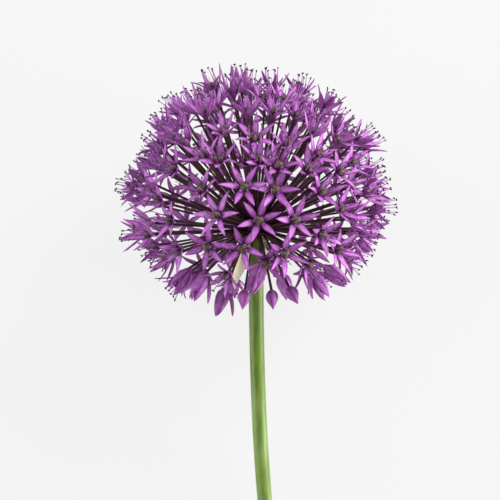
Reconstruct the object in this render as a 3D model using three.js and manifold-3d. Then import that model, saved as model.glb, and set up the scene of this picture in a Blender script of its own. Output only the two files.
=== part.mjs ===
// Allium flower head, cut and laid down: a ball of violet star florets on a bare green scape.
//
// Lengths are in millimetres. The flower is drawn upright, with the centre of its hub at the
// origin, +Z up the stalk to the crown of the head, +X to its right and -Y to its front. One
// group then lays it on its back on the plane Z = 0, where it rests on the cut end of the
// scape and on the lowest florets.

import * as THREE from 'three';
import { mergeVertices } from 'three/addons/utils/BufferGeometryUtils.js';
import Module from 'manifold-3d';

const wasm = await Module();
wasm.setup();

const DEG = Math.PI / 180;
const GOLDEN_ANGLE = Math.PI * (3 - Math.sqrt(5));
const FIT = 0.3; // gap left between two pieces that touch

// How the cut flower lies
const LEAN = 17.8 * DEG; // slope of the scape
const PRESS = 1.6; // the surface presses the lowest tepals flat by this much
const SETTLING_STEP = 0.25; // lower florets are drawn back by steps of this until they fit
const SETTLING_TRIES = 60;
const SURFACE_SIZE = 400; // of the block that stands for the surface
const ORIGIN_BEHIND_HUB = 26.6; // from under the hub back to the middle of the flower
const ORIGIN_RIGHT_OF_HUB = 0.3;

// Scape, the bare stalk
const SCAPE_LENGTH = 120; // centre of the hub to the cut end
const SCAPE_RADIUS = 2.8;
const SCAPE_TOP_RADIUS = 3.7; // it swells below the hub
const SCAPE_SWELLING = 9; // length of that swelling
const SCAPE_BEND = 5.2; // how far its lower end bends to the right
const BEND_POWER = 2.6; // larger keeps the upper part straighter
const SCAPE_SIDES = 16;
const SCAPE_RINGS = 11;

// Hub, where all pedicels meet
const HUB_RADIUS = 5;
const HUB_SEAT = 2.8; // its flat underside, below its centre
const HUB_SIDES = 12;
const HUB_RINGS = 8;

// Head: the florets' feet lie on a rounded shell about a centre above the hub
const FLORETS = 120;
const SEED = 256;
const FIRST_AZIMUTH = 318 * DEG;
const HEAD_CENTRE = 13;
const SHELL_SIDE = 41.8;
const SHELL_UP = 39.5;
const SHELL_DOWN = 35;
const UPPER_SQUARENESS = 1.8; // 2 is an ellipse, less is more pointed
const LOWER_SQUARENESS = 2.4; // and more is boxier
const BARE_CAP = 12 * DEG; // no floret this near to the scape
const WANDER = 4.2 * DEG; // how far a floret strays from its place in the spiral
const STAGGER = 2.4; // every third floret stands this much nearer, every third further out
const UNEVENNESS = 0.6; // and this much at random
const NOD = 11 * DEG; // how far its face may turn away from its pedicel
const DROOP = 0.55; // how strongly the faces of the lowest florets hang

// Florets in front that have a place of their own: right of and above the hub, as seen from
// the front, and for the nearest ones the turn about their axis. The floret of the spiral that
// is nearest to each takes that place, and the others in front part again.
const VIEW_DISTANCE = 620; // what stands nearer is seen larger
const SIGHT_TRIES = 8;
const OVARY_LIFT = 1.045; // an ovary is this much further from the hub than its floret's foot
const NEAR_FLORETS = [
  [0.7, 2.6, 15 * DEG], [14.9, 3, 9 * DEG], [7.1, 14.5, 0], [-4.8, 15.3, 0],
  [-14.9, 4.5, -7 * DEG], [-18.5, -7.1, 20 * DEG], [-5.4, -8, 45 * DEG],
  [10.4, -9.7, 30 * DEG], [4, -13.3, 10 * DEG],
];
const FRONT_FLORETS = [
  [-11.2, -17.5], [31.8, -8.3], [25, -2.4], [36.2, 3.4], [25, 13.8], [19.8, 22.2],
  [23.7, 28.2], [37.2, 25.3], [30.4, 33.3], [22, 36.3], [12.2, 31.7], [8.2, 24],
  [-0.6, 34.6], [1.5, 25.4], [-12.3, 37.2], [-14.4, 26], [-27, 33], [-31.9, 23.2],
  [-21.1, 14.8], [-37, 10.3], [-32.5, 2.9], [-41.4, 2.2], [-33.6, -10.6], [41.5, -6],
  [43.5, 5.7], [36.9, -11.4], [15.1, 42.3], [-15.9, 45.6],
];

// Half-open florets and buds that hang low in front. Each has its foot right of, before and
// above the hub, and the angle by which it swings to the right.
const HANGING_BELLS = [
  [-24.7, 12, -15.2, -35 * DEG],
  [-18.5, 16, -16.8, -26 * DEG],
  [-11, 11.5, -22, -19 * DEG],
  [1.8, 19, -13.8, -23 * DEG],
  [20.4, 15.5, -16.4, 31 * DEG],
  [25.1, 14.5, -14.2, 53 * DEG],
];
const HANGING_BUDS = [
  [-4.1, 16, -22.3, -7 * DEG],
  [5.6, 11, -22.4, 5 * DEG],
  [11.9, 12, -21.2, 28 * DEG],
];
const FORWARD = 0.3; // how far the hanging ones lean to the front

// Parting: a floret moves away from all others nearer than ELBOW_ROOM, in many small steps
const ELBOW_ROOM = 0.36; // seen from the middle of the shell, as a share of its radius
const PARTING_STEPS = 30;
const PARTING_STRENGTH = 0.12;
const BACK_SHARE = 0.3; // those this far to the back stay where they are

// Pedicels, three-sided
const PEDICEL_RADIUS = 0.6; // at the floret
const PEDICEL_ROOT_RADIUS = 0.42;
const PEDICEL_ROOT = 1.5; // where it starts, inside the hub
const PEDICEL_ELBOW = 5.5; // the lower ones turn down this far from the hub's centre
const ELBOW_END = 0.35; // share of the way from there to the floret that the turn takes
const LEVEL = 95 * DEG; // from here down the pedicels turn, measured from the crown
const TURN = 0.32; // share of the angle past LEVEL that they have at the root
const NECK = 1.2; // from the end of the pedicel to the floret's foot
const PEDICEL_CORNERS = [30 * DEG, 150 * DEG, 270 * DEG];

// Florets. Each point is [distance from the floret's axis, height above its foot].
const TEPALS = 6;
const TEPAL_ANGLE = (2 * Math.PI) / TEPALS;
const OPEN = {
  foot: [1.6, 0.3],
  cup: [1.05, 0.95],
  side: [4.8, 1.95],
  halfWidth: 1.3,
  tip: [8.5, 4.1],
  ovary: [0, 2.9],
  anther: [3.9, 8.3],
};
const RAISED = {
  foot: [1.6, 0.3],
  cup: [1.05, 0.95],
  side: [3.7, 3.3],
  halfWidth: 1.3,
  tip: [5.3, 7.8],
  ovary: [0, 2.9],
  anther: [2.7, 9.2],
};
const RAISING = 0.5; // open florets but the nearest are between OPEN and RAISED
const RAISING_SPREAD = 0.35;
const CROWN_RAISING = 0.3; // and nearer to RAISED on the crown
const BELL = {
  foot: [1.5, 0.3],
  cup: [0.9, 0.9],
  side: [3.3, 4.0],
  halfWidth: 1.25,
  tip: [2.1, 10.4],
  ovary: [0, 2.6],
  anther: [1.1, 9.6],
};
const BUD = {
  foot: [2.3, 2.9],
  shoulder: [1.85, 4.9],
  tip: [0, 7.6],
};
const BUD_ZONE = 36 * DEG; // measured from straight down the scape
const BUD_SHARE = 0.75; // of the florets in that zone, the others are bells
const BELL_ZONE = 60 * DEG;
const BELL_SHARE = 0.6;

// Spathe: three papery valves, each a pointed strip of a skirt round the scape. Their middle
// lines are given as [distance from the scape's axis, depth below the hub's centre], and each
// pushes the pedicels that would pass through it aside.
const VALVE_THICKNESS = 0.6;
const VALVE_TIP_WIDTH = 0.7;
const VALVE_BASE = 0.1; // share of the swelling outline that is cut off at the base
const VALVE_ROWS = 8;
const VALVE_COLUMNS = 4;
const VALVES = [
  {
    name: 'left',
    azimuth: -60 * DEG,
    width: 12,
    line: [[4.1, 5.2], [7.6, 8.6], [11, 14], [9, 22.5]],
    pushes: { from: 146 * DEG, to: 180 * DEG, aside: 44 * DEG },
  },
  {
    name: 'right',
    azimuth: 74 * DEG,
    width: 8,
    line: [[4.1, 5.2], [10, 7.4], [17, 10], [23, 16]],
    pushes: { from: 108 * DEG, to: 146 * DEG, aside: 32 * DEG },
  },
  {
    name: 'rear',
    azimuth: 172 * DEG,
    width: 8,
    line: [[4.1, 5.2], [9, 8.6], [14, 13], [18, 20]],
    pushes: { from: 116 * DEG, to: 158 * DEG, aside: 25 * DEG },
  },
];

const HUB_HEIGHT = SCAPE_LENGTH * Math.sin(LEAN) + SCAPE_RADIUS * Math.cos(LEAN);
const UP_FROM_SURFACE = new THREE.Vector3(0, -Math.cos(LEAN), Math.sin(LEAN));

const FLORET_VIOLET = new THREE.MeshStandardMaterial({ color: 0x9a5fa3, roughness: 0.6, metalness: 0 });
const STALK_GREEN = new THREE.MeshStandardMaterial({ color: 0x7f9346, roughness: 0.5, metalness: 0 });
const PAPERY_CREAM = new THREE.MeshStandardMaterial({ color: 0xd0bb95, roughness: 0.8, metalness: 0 });

/** A steady draw from 0 to 1 for floret i and purpose k. */
function draw(i, k) {
  const wave = Math.sin(i * 127.1 + k * 311.7 + SEED) * 43758.5453;
  return wave - Math.floor(wave);
}

/** The same draw, spread from -1 to 1. */
function spread(i, k) {
  return 2 * draw(i, k) - 1;
}

/** The whole numbers from 0 to count - 1. */
function upTo(count) {
  return [...Array(count).keys()];
}

/** Height of a point of the upright flower over the surface that the flower lies on. */
function heightAsLaid(point) {
  return HUB_HEIGHT + point.dot(UP_FROM_SURFACE);
}

/** Unit vector at an angle from the crown, turned by azimuth from the front to the right. */
function direction(fromCrown, azimuth) {
  const out = Math.sin(fromCrown);
  return new THREE.Vector3(out * Math.sin(azimuth), -out * Math.cos(azimuth), Math.cos(fromCrown));
}

/** Collects the corners and triangles of one closed skin. */
class Skin {
  constructor() {
    this.corners = [];
    this.triangles = [];
  }

  corner(point) {
    this.corners.push(point.x, point.y, point.z);
    return this.corners.length / 3 - 1;
  }

  /** A fan of triangles over a loop of corners, anticlockwise as seen from outside. */
  face(first, ...rest) {
    for (let k = 1; k < rest.length; k += 1) {
      this.triangles.push(first, rest[k - 1], rest[k]);
    }
  }

  /** A band of faces between two closed rings of corners, the second one further on. */
  band(near, far) {
    near.forEach((corner, k) => {
      const next = (k + 1) % near.length;
      this.face(corner, near[next], far[next], far[k]);
    });
  }

  solid() {
    return new wasm.Manifold(new wasm.Mesh({
      numProp: 3,
      vertProperties: new Float32Array(this.corners),
      triVerts: new Uint32Array(this.triangles),
    }));
  }
}

/** Turns a closed three.js geometry into a solid. */
function solidOf(geometry) {
  const bare = geometry.clone();
  bare.deleteAttribute('normal');
  bare.deleteAttribute('uv');
  const merged = mergeVertices(bare);
  return new wasm.Manifold(new wasm.Mesh({
    numProp: 3,
    vertProperties: merged.attributes.position.array,
    triVerts: new Uint32Array(merged.index.array),
  }));
}

/** Turns a solid back into a three.js geometry. */
function geometryOf(solid) {
  const mesh = solid.getMesh();
  const geometry = new THREE.BufferGeometry();
  geometry.setAttribute('position', new THREE.BufferAttribute(mesh.vertProperties, 3));
  geometry.setIndex(new THREE.BufferAttribute(mesh.triVerts, 1));
  geometry.computeVertexNormals();
  return geometry;
}

/** Azimuth of a floret, moved aside where its pedicel would pass through a valve. */
function besideValves(fromCrown, azimuth) {
  let clear = azimuth;
  for (const { azimuth: middle, pushes } of VALVES) {
    const off = Math.atan2(Math.sin(azimuth - middle), Math.cos(azimuth - middle));
    if (fromCrown > pushes.from && fromCrown < pushes.to && Math.abs(off) < pushes.aside) {
      clear = middle + (off < 0 ? -pushes.aside : pushes.aside);
    }
  }
  return clear;
}

/** Place on the shell that the feet stand on, as seen from the hub. */
function shellPlace(latitude) {
  const lower = Math.cos(latitude) < 0;
  const power = 2 / (lower ? LOWER_SQUARENESS : UPPER_SQUARENESS);
  const out = SHELL_SIDE * Math.sin(latitude) ** power;
  const rise = (lower ? -SHELL_DOWN : SHELL_UP) * Math.abs(Math.cos(latitude)) ** power;
  const height = HEAD_CENTRE + rise;
  return { out, fromCrown: Math.atan2(out, height), length: Math.hypot(out, height) };
}

/** Way from the middle of the shell to the floret that is seen at a place in front. */
function seenOnShell([right, above]) {
  let depth = 0.7 * SHELL_SIDE;
  let latitude = 0;
  let azimuth = 0;
  for (let tries = 0; tries < SIGHT_TRIES; tries += 1) {
    const actual = (1 - (OVARY_LIFT * depth) / VIEW_DISTANCE) / OVARY_LIFT;
    const rise = above * actual - HEAD_CENTRE;
    const lower = rise < 0;
    const power = (lower ? LOWER_SQUARENESS : UPPER_SQUARENESS) / 2;
    const share = Math.min(1, Math.abs(rise) / (lower ? SHELL_DOWN : SHELL_UP)) ** power;
    latitude = Math.acos(lower ? -share : share);
    const { out } = shellPlace(latitude);
    azimuth = Math.asin(THREE.MathUtils.clamp((right * actual) / out, -1, 1));
    depth = out * Math.cos(azimuth);
  }
  return direction(latitude, azimuth);
}

/** Way from the middle of the shell to a foot, its stretch taken out. */
function wayTo(foot) {
  return new THREE.Vector3(
    foot.x / SHELL_SIDE,
    foot.y / SHELL_SIDE,
    (foot.z - HEAD_CENTRE) / SHELL_DOWN,
  ).normalize();
}

/** Way to floret i of a spiral laid evenly over the shell. */
function wayInSpiral(i) {
  const depth = ((i + 0.5) / FLORETS) * (1 + Math.cos(BARE_CAP));
  const latitude = Math.acos(1 - depth) + WANDER * spread(i, 1);
  const azimuth = FIRST_AZIMUTH + i * GOLDEN_ANGLE + (WANDER * spread(i, 2)) / Math.sin(latitude);
  return direction(latitude, azimuth);
}

/** Moves each way that isn't held apart from all others near it. */
function part(ways, held) {
  for (let step = 0; step < PARTING_STEPS; step += 1) {
    const moved = ways.map((way, i) => {
      const push = new THREE.Vector3();
      for (const other of held[i] ? [] : ways) {
        const gap = way.distanceTo(other);
        push.addScaledVector(way, Math.max(0, 1 - gap / ELBOW_ROOM));
        push.addScaledVector(other, -Math.max(0, 1 - gap / ELBOW_ROOM));
      }
      return held[i] ? way : way.clone().addScaledVector(push, PARTING_STRENGTH).normalize();
    });
    moved.forEach((way, i) => ways[i].copy(way));
  }
}

/** Whether floret i is open, a bell or a bud: the lower it is, the less it has opened. */
function habitOf(i, fromScape, raising) {
  if (fromScape < BUD_ZONE) {
    return draw(i, 4) < BUD_SHARE ? BUD : BELL;
  }
  return fromScape < BELL_ZONE && draw(i, 4) < BELL_SHARE ? BELL : openHabit(raising);
}

/** An open floret, its tepals raised by a share of the way from OPEN to RAISED. */
function openHabit(raising) {
  const share = THREE.MathUtils.clamp(raising, 0, 1);
  const between = ([out, rise], [raisedOut, raisedRise]) => [
    THREE.MathUtils.lerp(out, raisedOut, share),
    THREE.MathUtils.lerp(rise, raisedRise, share),
  ];
  return {
    ...OPEN,
    side: between(OPEN.side, RAISED.side),
    tip: between(OPEN.tip, RAISED.tip),
    anther: between(OPEN.anther, RAISED.anther),
  };
}

/** Places of all florets: their ways from the middle of the shell, and what holds each. */
function planWays() {
  const hanging = [...HANGING_BELLS, ...HANGING_BUDS];
  const places = [
    ...hanging.map(([right, before, above, swing], k) => {
      const foot = new THREE.Vector3(right, -before, above);
      const facing = new THREE.Vector3(Math.sin(swing), -FORWARD, -Math.cos(swing)).normalize();
      return { way: wayTo(foot), foot, facing, habit: k < HANGING_BELLS.length ? BELL : BUD };
    }),
    ...NEAR_FLORETS.map((seen) => ({ way: seenOnShell(seen), roll: seen[2], habit: OPEN })),
    ...FRONT_FLORETS.map((seen) => ({ way: seenOnShell(seen) })),
  ];
  const ways = upTo(FLORETS).map(wayInSpiral);
  const placed = ways.map(() => null);
  for (const place of places) {
    const nearness = ways.map((way, i) => (placed[i] ? -2 : way.dot(place.way)));
    placed[nearness.indexOf(Math.max(...nearness))] = place;
  }
  ways.forEach((way, i) => way.copy(placed[i] ? placed[i].way : way));
  const atBack = ways.map((way) => way.y > BACK_SHARE);
  part(ways, ways.map((way, i) => placed[i] !== null || atBack[i]));
  return ways.map((way, i) => ({ way, atBack: atBack[i], place: placed[i] }));
}

/** Foot, facing and habit of floret i from its way. */
function planFloret({ way, atBack, place }, i) {
  const { fromCrown, length } = shellPlace(Math.acos(way.z));
  const seenAt = Math.atan2(way.x, -way.y);
  const azimuth = place ? seenAt : besideValves(fromCrown, seenAt);
  const raising = RAISING + RAISING_SPREAD * spread(i, 8)
    + CROWN_RAISING * THREE.MathUtils.smoothstep(Math.cos(fromCrown), 0.5, 0.9);
  const stagger = place ? 0 : STAGGER * ((i % 3) - 1);
  const foot = direction(fromCrown, azimuth)
    .multiplyScalar(length + stagger + UNEVENNESS * spread(i, 3));

  const facing = direction(fromCrown + NOD * spread(i, 5), azimuth + NOD * spread(i, 6));
  facing.z -= DROOP * THREE.MathUtils.smoothstep(-Math.cos(fromCrown), 0.1, 0.9);
  const usual = {
    habit: place ? openHabit(raising) : habitOf(i, Math.PI - fromCrown, atBack ? 0 : raising),
    foot,
    facing: facing.normalize(),
    roll: draw(i, 7) * 2 * Math.PI,
  };
  return withPedicel({ ...usual, ...place });
}

/** Adds how the pedicel leaves the hub: the lower ones turn down on their way. */
function withPedicel(plan) {
  const { x, y, z } = plan.foot.clone().normalize();
  const fromCrown = Math.acos(z);
  const turn = Math.max(0, fromCrown - LEVEL) * (1 - TURN);
  return { ...plan, root: direction(fromCrown - turn, Math.atan2(x, -y)), bent: turn > 0 };
}

/** Height as laid of the lowest tip of a floret. */
function lowestTip({ habit, foot, facing }) {
  const [reach, rise] = habit.tip;
  const centre = foot.clone().addScaledVector(facing, rise);
  const tilt = facing.dot(UP_FROM_SURFACE);
  return heightAsLaid(centre) - reach * Math.sqrt(1 - tilt * tilt);
}

/** Draws a floret back along its pedicel until the surface only presses its tips. */
function settle(plan) {
  const step = plan.foot.clone().normalize().multiplyScalar(-SETTLING_STEP);
  for (let tries = 0; tries < SETTLING_TRIES && lowestTip(plan) < -PRESS; tries += 1) {
    plan.foot.add(step);
  }
  return plan;
}

/** Middle line of a pedicel: straight, or turned down near the hub on the lower side. */
function pedicelLine({ root, foot, facing, bent }) {
  const start = root.clone().multiplyScalar(PEDICEL_ROOT);
  const end = foot.clone().addScaledVector(facing, -NECK);
  if (!bent) {
    return { curve: new THREE.LineCurve3(start, end), stations: [0, 1] };
  }
  const elbow = root.clone().multiplyScalar(PEDICEL_ELBOW);
  const straight = elbow.clone().lerp(end, ELBOW_END);
  return { curve: new THREE.CubicBezierCurve3(start, elbow, straight, end), stations: [0, 0.3, 1] };
}

/** Adds a pedicel to a floret's skin, and gives the ring of corners at its upper end. */
function addPedicel(skin, plan, right) {
  const { curve, stations } = pedicelLine(plan);
  const carried = right.clone();
  const rings = [...stations].reverse().map((station) => {
    const along = station === 1 ? plan.facing : curve.getTangent(station);
    const centre = curve.getPoint(station);
    const radius = THREE.MathUtils.lerp(PEDICEL_ROOT_RADIUS, PEDICEL_RADIUS, station);
    carried.addScaledVector(along, -carried.dot(along)).normalize();
    const across = new THREE.Vector3().crossVectors(along, carried);
    return PEDICEL_CORNERS.map((angle) => skin.corner(centre.clone()
      .addScaledVector(carried, radius * Math.cos(angle))
      .addScaledVector(across, radius * Math.sin(angle))));
  });
  rings.reverse();
  skin.face(...[...rings[0]].reverse());
  for (let k = 1; k < rings.length; k += 1) {
    skin.band(rings[k - 1], rings[k]);
  }
  return rings[rings.length - 1];
}

/** One floret with its pedicel, as one closed solid. */
function floretSolid(plan) {
  const { facing, foot, habit, roll } = plan;
  const skin = new Skin();
  const right = new THREE.Vector3(1, 0, 0);
  if (Math.abs(facing.x) > 0.8) {
    right.set(0, 0, 1);
  }
  right.addScaledVector(facing, -right.dot(facing)).normalize().applyAxisAngle(facing, roll);
  const ahead = new THREE.Vector3().crossVectors(facing, right);

  /** A point of the floret, at an angle about its axis and aside along that turn. */
  const at = ([distance, height], angle = 0, aside = 0) => foot.clone()
    .addScaledVector(facing, height)
    .addScaledVector(right, distance * Math.cos(angle) - aside * Math.sin(angle))
    .addScaledVector(ahead, distance * Math.sin(angle) + aside * Math.cos(angle));

  const top = addPedicel(skin, plan, right);
  const between = (point) => upTo(TEPALS).map((k) => skin.corner(at(point, (k + 0.5) * TEPAL_ANGLE)));
  const ring = between(habit.foot);
  top.forEach((corner, j) => {
    const next = top[(j + 1) % 3];
    skin.face(corner, ring[2 * j + 1], ring[2 * j]);
    skin.face(corner, next, ring[2 * j + 1]);
    skin.face(next, ring[(2 * j + 2) % TEPALS], ring[2 * j + 1]);
  });

  if (habit === BUD) {
    const shoulder = between(BUD.shoulder);
    const tip = skin.corner(at(BUD.tip));
    skin.band(ring, shoulder);
    shoulder.forEach((corner, k) => skin.face(corner, shoulder[(k + 1) % TEPALS], tip));
  } else {
    addTepals(skin, plan, at, ring);
  }
  return skin.solid();
}

/** Six ridged tepals, the ovary between them and three of the stamens. */
function addTepals(skin, plan, at, ring) {
  const { cup, side, halfWidth, tip, ovary, anther } = plan.habit;
  const cups = PEDICEL_CORNERS.map((angle) => skin.corner(at(cup, angle)));
  for (let k = 0; k < TEPALS; k += 1) {
    const angle = k * TEPAL_ANGLE;
    const before = ring[(k + TEPALS - 1) % TEPALS];
    const after = ring[k];
    const sideBefore = skin.corner(at(side, angle, -halfWidth));
    const sideAfter = skin.corner(at(side, angle, halfWidth));
    const point = skin.corner(at(tip, angle));
    skin.face(before, after, sideAfter, sideBefore);
    skin.face(sideBefore, sideAfter, point);
    skin.face(cups[Math.floor(k / 2)], before, sideBefore, point, sideAfter, after);
  }
  const apex = skin.corner(at(ovary));
  cups.forEach((corner, j) => {
    const next = cups[(j + 1) % 3];
    const notch = ring[2 * j + 1];
    const stamen = skin.corner(aboveSurface(plan, at(anther, (2 * j + 1.5) * TEPAL_ANGLE)));
    skin.face(corner, next, apex);
    skin.face(notch, next, stamen);
    skin.face(next, corner, stamen);
    skin.face(corner, notch, stamen);
  });
}

/** A stamen's tip, drawn back along the floret's axis where it would pass the surface. */
function aboveSurface({ facing }, point) {
  const short = FIT - heightAsLaid(point);
  return short > 0 ? point.addScaledVector(facing, short / facing.dot(UP_FROM_SURFACE)) : point;
}

/** The umbel: hub, pedicels and florets grown together, pressed flat where it is laid. */
function umbelGeometry() {
  const hub = new THREE.SphereGeometry(HUB_RADIUS, HUB_SIDES, HUB_RINGS).rotateX(Math.PI / 2);
  const seat = new THREE.BoxGeometry(4 * HUB_RADIUS, 4 * HUB_RADIUS, HUB_RADIUS);
  seat.translate(0, 0, -HUB_SEAT - HUB_RADIUS / 2);
  let umbel = solidOf(hub).subtract(solidOf(seat));
  planWays().forEach((floret, i) => {
    umbel = umbel.add(floretSolid(settle(planFloret(floret, i))));
  });
  const surface = new THREE.BoxGeometry(SURFACE_SIZE, SURFACE_SIZE, SURFACE_SIZE);
  surface.translate(0, 0, -HUB_HEIGHT - SURFACE_SIZE / 2);
  surface.rotateX(Math.PI / 2 - LEAN);
  return geometryOf(umbel.subtract(solidOf(surface)));
}

/** The scape: turned about its axis, swollen under the hub, then bent to one side. */
function scapeGeometry() {
  const top = -HUB_SEAT - FIT;
  const swelling = top - SCAPE_SWELLING;
  const profile = [
    [0, -SCAPE_LENGTH],
    ...upTo(SCAPE_RINGS + 1).map((k) => [
      SCAPE_RADIUS,
      THREE.MathUtils.lerp(-SCAPE_LENGTH, swelling, k / SCAPE_RINGS),
    ]),
    [THREE.MathUtils.lerp(SCAPE_RADIUS, SCAPE_TOP_RADIUS, 0.4), top - SCAPE_SWELLING / 2],
    [SCAPE_TOP_RADIUS, top - SCAPE_SWELLING / 6],
    [SCAPE_TOP_RADIUS, top],
    [0, top],
  ];
  const points = profile.map(([radius, z]) => new THREE.Vector2(radius, z));
  const geometry = new THREE.LatheGeometry(points, SCAPE_SIDES).rotateX(Math.PI / 2);
  const { position } = geometry.attributes;
  for (let k = 0; k < position.count; k += 1) {
    const down = Math.max(0, (top - position.getZ(k)) / (top + SCAPE_LENGTH));
    position.setX(k, position.getX(k) + SCAPE_BEND * down ** BEND_POWER);
  }
  return geometry;
}

/** One face of a spathe valve, as rows of corners from its base to its tip. */
function valveSheet(skin, { azimuth, width: widest, line }, offset) {
  const middle = new THREE.CubicBezierCurve(...line.map(([out, down]) => new THREE.Vector2(out, -down)));
  return upTo(VALVE_ROWS + 1).map((row) => {
    const along = row / VALVE_ROWS;
    const { x: out, y: height } = middle.getPoint(along);
    const slope = middle.getTangent(along);
    const swell = Math.sin(Math.PI * THREE.MathUtils.lerp(VALVE_BASE, 1, along));
    const width = Math.max(VALVE_TIP_WIDTH, widest * swell);
    const distance = out - offset * slope.y;
    return upTo(VALVE_COLUMNS + 1).map((column) => {
      const turned = azimuth + (width / out) * (column / VALVE_COLUMNS - 0.5);
      return skin.corner(new THREE.Vector3(
        distance * Math.sin(turned),
        -distance * Math.cos(turned),
        height + offset * slope.x,
      ));
    });
  });
}

/** A spathe valve: two parallel sheets, split into triangles alike, and a rim round them. */
function valveGeometry(valve) {
  const skin = new Skin();
  const upper = valveSheet(skin, valve, VALVE_THICKNESS / 2);
  const lower = valveSheet(skin, valve, -VALVE_THICKNESS / 2);
  const rim = (sheet) => [
    ...sheet[0],
    ...sheet.slice(1).map((row) => row[VALVE_COLUMNS]),
    ...sheet[VALVE_ROWS].slice(0, -1).reverse(),
    ...sheet.slice(1, -1).map((row) => row[0]).reverse(),
  ];
  for (let row = 0; row < VALVE_ROWS; row += 1) {
    for (let column = 0; column < VALVE_COLUMNS; column += 1) {
      const loop = (sheet) => [
        sheet[row][column],
        sheet[row + 1][column],
        sheet[row + 1][column + 1],
        sheet[row][column + 1],
      ];
      const [a, b, c, d] = loop(lower);
      skin.face(...loop(upper));
      skin.face(a, d, c, b);
    }
  }
  skin.band(rim(upper), rim(lower));
  return geometryOf(skin.solid());
}

/** A named piece of the flower. */
function piece(name, geometry, material) {
  const mesh = new THREE.Mesh(geometry, material);
  mesh.name = name;
  return mesh;
}

const flower = new THREE.Group();
flower.add(piece('umbel', umbelGeometry(), FLORET_VIOLET));
flower.add(piece('scape', scapeGeometry(), STALK_GREEN));
for (const valve of VALVES) {
  flower.add(piece(`spathe_valve_${valve.name}`, valveGeometry(valve), PAPERY_CREAM));
}
flower.rotation.x = LEAN - Math.PI / 2;
flower.position.set(-ORIGIN_RIGHT_OF_HUB, ORIGIN_BEHIND_HUB, HUB_HEIGHT);

const cutFlower = new THREE.Group();
cutFlower.add(flower);
export default cutFlower;
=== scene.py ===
"""Allium flower head: a ball of violet star florets on a bare green scape, laid on a table.

Lengths are in metres and angles in radians. Every piece is worked out upright, with the centre
of the hub at the origin, +Z up the scape to the crown of the head, +X to its right and -Y to
its front. One turn then lays the flower on its back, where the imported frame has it.
"""

import bpy
import numpy as np
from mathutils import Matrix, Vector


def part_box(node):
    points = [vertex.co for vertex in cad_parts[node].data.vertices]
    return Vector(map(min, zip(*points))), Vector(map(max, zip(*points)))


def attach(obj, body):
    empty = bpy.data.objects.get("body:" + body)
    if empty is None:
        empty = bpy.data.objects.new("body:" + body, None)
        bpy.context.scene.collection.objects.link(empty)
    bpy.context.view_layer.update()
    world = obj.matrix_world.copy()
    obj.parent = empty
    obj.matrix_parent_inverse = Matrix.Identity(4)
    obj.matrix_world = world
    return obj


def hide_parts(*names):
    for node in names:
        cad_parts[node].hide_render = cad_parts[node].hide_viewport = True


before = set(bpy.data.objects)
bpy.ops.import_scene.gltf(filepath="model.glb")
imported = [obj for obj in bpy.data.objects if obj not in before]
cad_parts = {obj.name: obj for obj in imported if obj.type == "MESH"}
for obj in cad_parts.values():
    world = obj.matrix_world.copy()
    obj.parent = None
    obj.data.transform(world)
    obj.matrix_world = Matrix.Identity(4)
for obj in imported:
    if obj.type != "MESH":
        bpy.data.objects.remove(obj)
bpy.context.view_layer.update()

bl_info = {
    "name": "Allium flower head",
    "version": (1, 0, 0),
    "blender": (4, 5, 0),
    "location": "3D View > Sidebar > Allium",
    "description": "Grows an allium flower head over its packed solids",
    "category": "Object",
}

MM = 0.001
DEG = np.pi / 180
GOLDEN_ANGLE = np.pi * (3 - np.sqrt(5))
UV_MAP = "skin"  # x runs once round a piece's section, y from its base to its tip
TONE = "tone"  # a draw from 0 to 1
TONE_DRAW = 28  # the purpose of the draw that gives it to most parts

# Points round the section of each kind of part
BLADE_COLUMNS = 8
THREAD_COLUMNS = 4
ANTHER_COLUMNS = 6
CUP_COLUMNS = 12
BUD_COLUMNS = 24
PEDICEL_COLUMNS = 8
STALK_COLUMNS = 40
VALVE_COLUMNS = 24

# How the cut flower lies
LEAN = 17.8 * DEG  # slope of the scape
PRESS = 1.6 * MM  # the table presses the lowest tepals flat by this much
SETTLING_STEP = 0.25 * MM
SETTLING_TRIES = 60
SOFTNESS = 0.4 * MM  # how gently a pressed tepal bends over the table

# Scape, the bare stalk
SCAPE_LENGTH = 120 * MM
SCAPE_RADIUS = 2.8 * MM
SCAPE_TOP_RADIUS = 3.7 * MM
SCAPE_SWELLING = 9 * MM
SCAPE_BEND = 5.2 * MM
BEND_POWER = 2.6

# Hub, where all pedicels meet
HUB_RADIUS = 5 * MM
HUB_SKIN = 0.97 * HUB_RADIUS  # just inside the solid
HUB_SEAT = 2.8 * MM
FIT = 0.3 * MM

# Head: the florets' feet lie on a rounded shell about a centre above the hub
FLORETS = 120
SEED = 256
FIRST_AZIMUTH = 318 * DEG
HEAD_CENTRE = 13 * MM
SHELL_SIDE = 41.8 * MM
SHELL_UP = 39.5 * MM
SHELL_DOWN = 35 * MM
UPPER_SQUARENESS = 1.8
LOWER_SQUARENESS = 2.4
BARE_CAP = 12 * DEG
WANDER = 4.2 * DEG
STAGGER = 2.4 * MM
UNEVENNESS = 0.6 * MM
NOD = 11 * DEG
DROOP = 0.55
BUD_ZONE = 36 * DEG
BUD_SHARE = 0.75
BELL_ZONE = 60 * DEG
BELL_SHARE = 0.6
LOOSE_SHARE = 0.2  # of the tepals of a bell that already stand off
TEPALS = 6

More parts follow.
